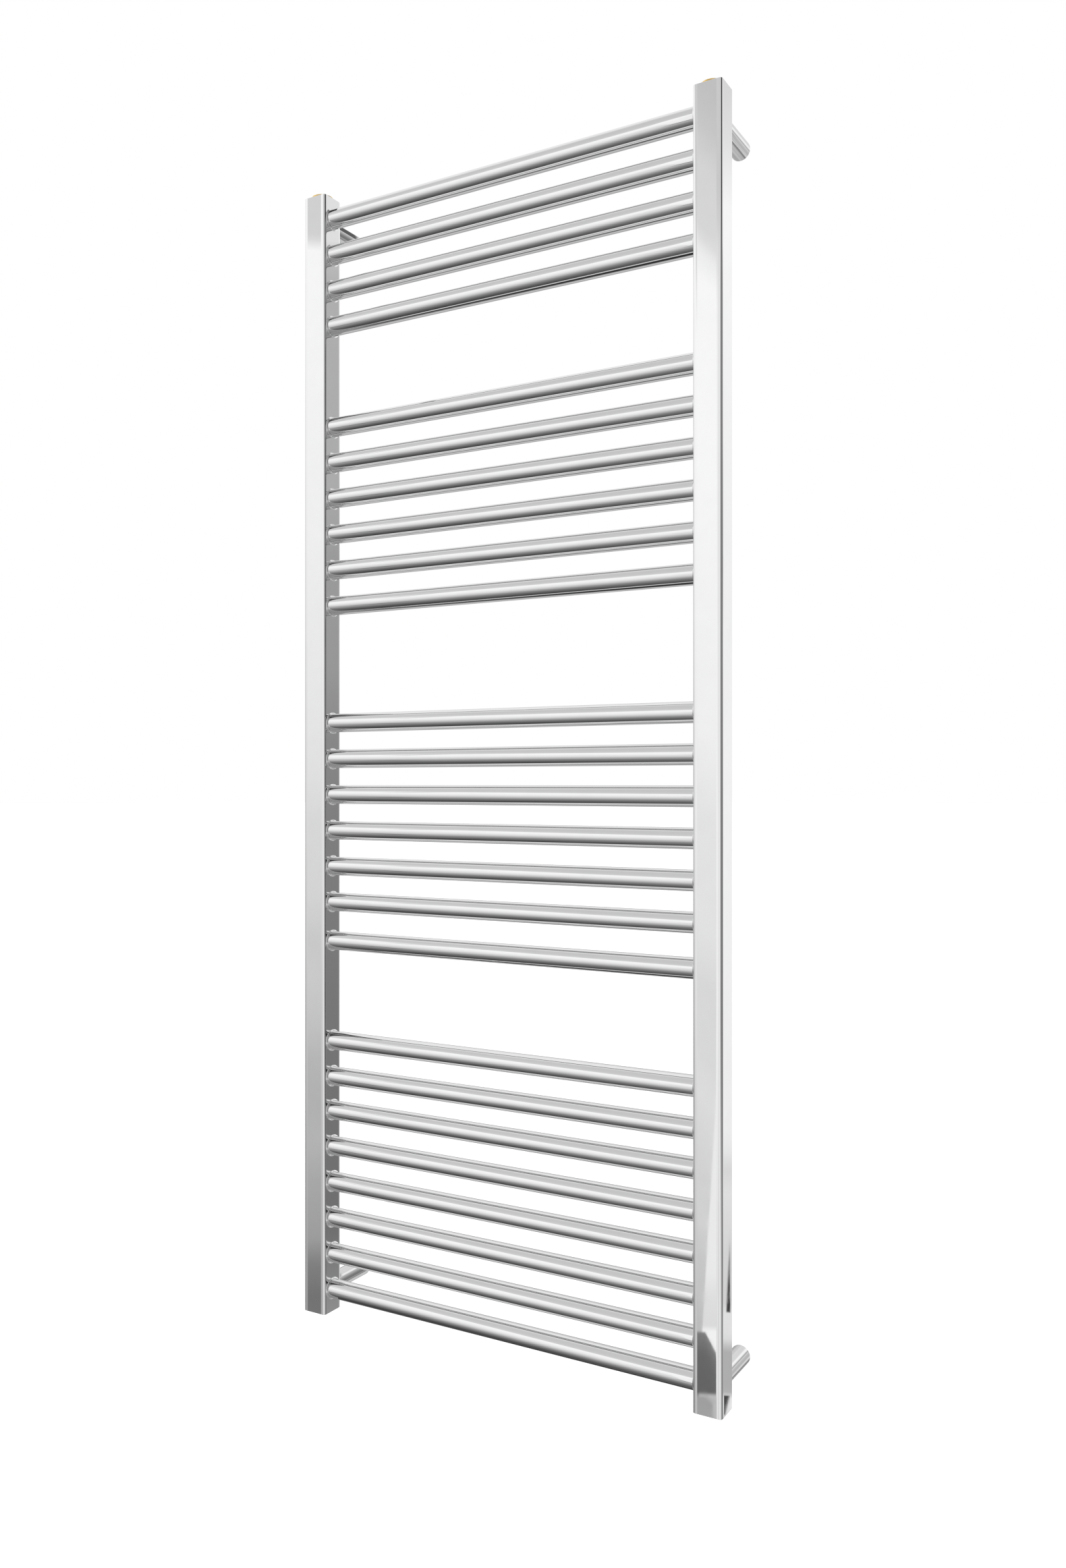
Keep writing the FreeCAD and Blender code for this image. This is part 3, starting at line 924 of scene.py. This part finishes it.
class Sky(Nodes):
    """The directions of a world, and ways to lay lights and dark flags over them.

    Shades are linear; azimuths and elevations are in degrees, azimuth 0 straight out from
    the wall and 90 to the right.
    """

    def __init__(self, tree):
        super().__init__(tree)
        self.where = self.add("ShaderNodeTexCoord").outputs["Generated"]
        parts = self.add("ShaderNodeSeparateXYZ", {0: self.where})
        self.rightward, self.backward, self.upward = parts.outputs
        ahead = self.math("MULTIPLY", self.backward, -1.0)
        azimuth = self.math("DEGREES", self.math("ARCTAN2", self.rightward, ahead))
        # Counted from -150 to 210, so that no step falls straight behind
        past_back = self.math("LESS_THAN", azimuth, -150.0)
        self.azimuth = self.math("MULTIPLY_ADD", past_back, 360.0, azimuth)
        self.elevation = self.math("DEGREES", self.math("ARCSINE", self.upward))
        # The edge at which what comes round from the right fades out behind
        self.back_edge = (self.azimuth, 202.0, 181.0)

    def along(self, vector):
        node = self.add("ShaderNodeVectorMath", {0: self.where, 1: tuple(vector)},
                        operation="DOT_PRODUCT")
        return node.outputs["Value"]

    def rise(self, value, low, high):
        """From 0 at low to 1 at high, softly; low may be the larger of the two."""
        return self.span(value, low, high, kind="SMOOTHSTEP")

    def inside(self, *edges):
        """The product of soft rises, each given as (value, low, high)."""
        product = self.rise(*edges[0])
        for edge in edges[1:]:
            product = self.math("MULTIPLY", product, self.rise(*edge))
        return product

    def leaning(self, lean):
        """Azimuth measured from a line that leans: lean degrees for each of elevation."""
        return self.math("MULTIPLY_ADD", self.elevation, -lean, self.azimuth)

    def degrees_ramp(self, value, stops):
        """A ramp whose stops are in degrees; its few hundred steps span only the stops."""
        first = stops[0][0]
        reach = stops[-1][0] - first
        return self.ramp(self.span(value, first, first + reach),
                         [((degrees - first) / reach, level) for degrees, level in stops])

    def patch(self, base, azimuths, elevations, shade, soft):
        """A soft-edged patch between two azimuths and two elevations, laid over base."""
        fac = self.inside((self.azimuth, azimuths[0] - soft, azimuths[0] + soft),
                          (self.azimuth, azimuths[1] + soft, azimuths[1] - soft),
                          (self.elevation, elevations[0] - soft, elevations[0] + soft),
                          (self.elevation, elevations[1] + soft, elevations[1] - soft))
        return self.blend(fac, base, shade)


def broad_light(sky):
    """The light from the left and above, and the low band behind."""
    # A broad inclined light: brightest just under its upper edge, fading downwards
    tilt = sky.span(sky.along(Vector((0.613, 0.056, 0.788))), -1.0, 1.0)
    light = sky.ramp(tilt, [
        (0.00, 0.05), (0.05, 0.16), (0.10, 0.26), (0.14, 0.38), (0.175, 0.50),
        (0.225, 0.65), (0.275, 0.78), (0.35, 0.92), (0.425, 0.99), (0.49, 1.02),
        (0.515, 0.69), (0.60, 0.62), (0.68, 0.61), (1.00, 0.62)])
    # Soft light high behind the left side
    glow = sky.rise(sky.along(direction(-122, 50)), 0.80, 0.99)
    light = sky.blend(glow, light, grey(0.88))
    # Low band behind, with the floor's darkness under it
    low_back = sky.ramp(sky.span(sky.upward, -1.0, 1.0), [
        (0.00, 0.0), (0.10, 0.02), (0.115, 0.13), (0.14, 0.26), (0.165, 0.38),
        (0.19, 0.54), (0.25, 0.64), (0.31, 0.44), (0.38, 0.40), (0.50, 0.45),
        (0.66, 0.58), (0.75, 0.66)])
    low_behind = sky.inside((sky.backward, 0.05, 0.35), (sky.upward, 0.45, 0.2))
    return sky.blend(low_behind, light, low_back)


def room_beside(sky, light):
    """The room round the right side: windows and dark gaps, as azimuth runs round."""
    level_round = sky.degrees_ramp(sky.azimuth, [
        (-22, 1.04), (-20, 0.90), (-18, 0.78), (-14, 0.88), (-10, 0.98), (-4, 0.92),
        (0, 0.83), (10, 0.61), (25, 0.37), (40, 0.33), (58, 0.44), (66, 0.14), (75, 0.05),
        (85.5, 0.04), (88, 0.66), (92, 0.66), (94.5, 0.04), (112, 0.05), (119, 0.16),
        (125, 0.25), (135, 0.30), (145, 0.34), (149, 0.50), (153, 0.95), (180, 0.95)])
    low_round = sky.degrees_ramp(sky.azimuth, [
        (-22, 0.76), (-19, 0.88), (-17, 0.66), (-15, 0.60), (-11, 0.72), (-7, 0.86),
        (9, 0.96), (25, 0.78), (40, 0.60), (70, 0.42), (83, 0.26), (88, 0.56), (92, 0.56),
        (97, 0.20), (115, 0.15), (135, 0.18), (148, 0.34), (153, 0.69), (180, 0.70)])
    high_round = sky.degrees_ramp(sky.azimuth, [
        (-22, 0.64), (30, 0.62), (45, 0.50), (55, 0.10), (65, 0.03), (110, 0.03),
        (120, 0.20), (130, 0.80), (140, 0.90), (180, 0.88)])
    floor_round = sky.degrees_ramp(sky.azimuth, [
        (-22, 0.55), (10, 0.45), (30, 0.34), (90, 0.28), (140, 0.32), (155, 0.40),
        (180, 0.42)])
    room = sky.blend(sky.rise(sky.elevation, -9.0, -23.0), level_round, low_round)
    room = sky.blend(sky.rise(sky.elevation, 20.0, 25.0), room, high_round)
    room = sky.blend(sky.rise(sky.elevation, -29.0, -36.0), room, floor_round)
    right = sky.inside((sky.azimuth, -23.5, -20.5), (sky.rightward, -0.42, -0.36),
                       (sky.elevation, 85.0, 75.0), sky.back_edge)
    light = sky.blend(right, light, room)
    # Beside the radiator the gap is darker low down, and a light stands above it
    gap = sky.degrees_ramp(sky.elevation, [
        (-24, 0.36), (-21.5, 0.27), (-19, 0.175), (-14, 0.185), (-8, 0.21), (-2, 0.23),
        (2, 0.27), (5, 0.34), (10, 0.36), (13, 0.45), (21, 0.47), (22.2, 0.56), (22.8, 0.81)])
    light = sky.patch(light, (131, 151), (-60, 60), gap, 3.0)
    edge = sky.degrees_ramp(sky.elevation, [
        (-40, 0.35), (-30, 0.22), (-26, 0.28), (-23, 0.55), (-20, 0.42), (-17, 0.68),
        (-14, 0.50), (-4, 0.52), (2, 0.60), (6.5, 0.72), (9.5, 0.40), (13, 0.48), (16, 0.82),
        (24, 0.95)])
    return sky.patch(light, (146, 154), (-60, 60), edge, 0.8)


def wall_behind(sky, light):
    """The wall that the right-hand side face mirrors, and a dark gap high over it."""
    # Bright, greyer high up, patchy low down
    wall = sky.degrees_ramp(sky.elevation, [
        (-34, 0.58), (-31.5, 0.40), (-29.5, 0.20), (-27, 0.28), (-26.3, 0.60), (-25.8, 0.88),
        (-25.4, 0.86), (-25.2, 0.46), (-23.7, 0.46), (-23.2, 0.80), (-22.3, 0.82),
        (-21.9, 0.70), (-19.8, 0.72), (-17.6, 0.80), (-16.6, 0.74), (-15.9, 0.86),
        (-15.0, 0.92), (0, 0.955), (8, 0.94), (16, 0.96), (24, 1.00), (25.2, 0.92),
        (26.5, 0.81), (28.5, 0.73)])
    along_wall = sky.inside((sky.azimuth, 152.8, 155.2), (sky.elevation, -62.0, -58.0),
                            (sky.elevation, 62.0, 58.0), sky.back_edge)
    light = sky.blend(along_wall, light, wall)
    # Two narrow dark wedges low on that wall
    upper_wedge = sky.inside((sky.leaning(0.05), 159.71, 159.79),
                             (sky.azimuth, 158.83, 158.79), (sky.elevation, -22.3, -22.2),
                             (sky.elevation, -18.6, -21.6))
    light = sky.blend(upper_wedge, light, grey(0.05))
    lower_wedge = sky.inside((sky.leaning(0.3), 166.41, 166.37),
                             (sky.azimuth, 158.0, 158.3), (sky.elevation, -26.1, -26.0),
                             (sky.elevation, -25.3, -25.38))
    light = sky.blend(lower_wedge, light, grey(0.05))
    # High over the wall, a dark gap seen in the post behind the left collector
    gap_above = sky.inside((sky.rightward, -0.37, -0.30), (sky.rightward, 0.60, 0.48),
                           (sky.backward, 0.708, 0.712), (sky.backward, 0.728, 0.7245),
                           (sky.elevation, 24.0, 26.5))
    return sky.blend(gap_above, light, grey(0.11))


def sheets_in_front(sky, light):
    """Narrow sheets of light and shade ahead of the two collectors' faces."""
    # Ahead of the right collector; its top and bottom edges sink to the right
    sheet_lean = 0.85
    sheet_azimuth = -22.2
    sheet_height = sky.math("MULTIPLY_ADD", sky.azimuth, sheet_lean, sky.elevation)
    sheet_height = sky.math("ADD", sheet_height, -sheet_lean * sheet_azimuth)
    right_sheet = sky.degrees_ramp(sheet_height, [
        (-28, 0.40), (-25.5, 0.38), (-25.3, 0.55), (-22.9, 0.55), (-22.2, 0.60),
        (-20.4, 0.63), (-19, 0.70), (-17.1, 0.70), (-15.5, 0.745), (-13.8, 0.79),
        (-12.1, 0.755), (-9, 0.75), (-6.8, 0.83), (-1.5, 0.845), (0.4, 0.90), (2.2, 0.95),
        (7.9, 0.98), (14, 1.02), (21.2, 1.02), (22.2, 0.93), (22.8, 0.78), (23.2, 0.745),
        (25.5, 0.72), (27, 0.62), (28.5, 0.58)])
    light = sky.patch(light, (-23.4, -21.4), (-60, 45), right_sheet, 0.15)
    # A pale wedge widens downwards along the sheet's right edge
    pale_shade = sky.degrees_ramp(sky.elevation, [
        (-25.3, 0.96), (-23.0, 0.98), (-22.8, 0.78), (-21.8, 0.80), (-20.8, 0.90), (-9, 0.92)])
    pale = sky.inside((sky.leaning(0.065), -20.96, -20.88), (sky.azimuth, -21.30, -21.45),
                      (sky.elevation, -25.5, -25.3), (sky.elevation, -8.0, -11.0))
    light = sky.blend(pale, light, pale_shade)
    # At the sheet's foot stands a dark one with a slanting edge, and a pale step below it
    slant_from = -22.28
    slant = 1.64
    beyond = sky.math("MAXIMUM", sky.math("SUBTRACT", sky.azimuth, slant_from), 0.0)
    dark_height = sky.math("MULTIPLY_ADD", beyond, slant, sky.elevation)
    dark_shade = sky.degrees_ramp(dark_height, [(-25.0, 0.14), (-23.9, 0.15), (-23.1, 0.21)])
    dark = sky.inside((sky.azimuth, -23.5, -23.3), (sky.azimuth, -21.58, -21.64),
                      (dark_height, -23.0, -23.1), (sky.elevation, -25.5, -25.25))
    light = sky.blend(dark, light, dark_shade)
    light = sky.patch(light, (-21.95, -21.3), (-27.5, -25.65), grey(0.54), 0.06)
    # Ahead of the left collector
    left_sheet = sky.degrees_ramp(sky.elevation, [
        (-24, 0.20), (-21.5, 0.19), (-20.3, 0.24), (-19.3, 0.37), (-17, 0.43), (-15.4, 0.50),
        (-13.7, 0.48), (-12, 0.51), (-10.3, 0.60), (-8.5, 0.65), (-6.8, 0.64), (-5.0, 0.72),
        (-1.4, 0.755), (0.4, 0.82), (3.9, 0.88), (7.5, 0.91), (11, 0.95), (22.4, 1.02),
        (22.9, 0.70), (32, 0.67)])
    return sky.patch(light, (-40.7, -39.0), (-26, 34), left_sheet, 0.25)


def studio_world():
    """White to the camera; soft boxes and dark flags in every other direction."""
    world = bpy.data.worlds.new("studio")
    world.use_nodes = True
    bpy.context.scene.world = world
    sky = Sky(world.node_tree)
    light = broad_light(sky)
    light = room_beside(sky, light)
    light = wall_behind(sky, light)
    light = sheets_in_front(sky, light)
    background = world.node_tree.nodes["Background"]
    camera_ray = sky.add("ShaderNodeLightPath").outputs["Is Camera Ray"]
    sky.put(background, "Color", sky.blend(camera_ray, light, grey(1.0)))
    background.inputs["Strength"].default_value = 1.0


def studio_floor():
    centre = Vector((0, 0, cad_box[0][2] - FLOOR_BELOW))
    vertices, faces = turned(centre, "z", [(0, 1.0), (0, 4.0), (0, FLOOR_RADIUS)],
                             start=tuple(centre))
    floor = new_piece("floor", vertices, faces)
    floor.data.materials.append(floor_material())
    floor.visible_glossy = False


def studio_camera():
    low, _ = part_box("left_collector")
    data = bpy.data.cameras.new("camera")
    data.lens = CAMERA_LENS
    data.sensor_width = 36.0
    data.clip_end = 200.0
    camera = bpy.data.objects.new("camera", data)
    bpy.context.scene.collection.objects.link(camera)
    camera.location = (CAMERA_RIGHT, low.y - CAMERA_OUT, low.z + CAMERA_ABOVE)
    camera.rotation_euler = (math.radians(90), 0, CAMERA_YAW)
    bpy.context.scene.camera = camera


studio_world()
studio_floor()
studio_camera()
bpy.context.scene.view_settings.view_transform = "Standard"
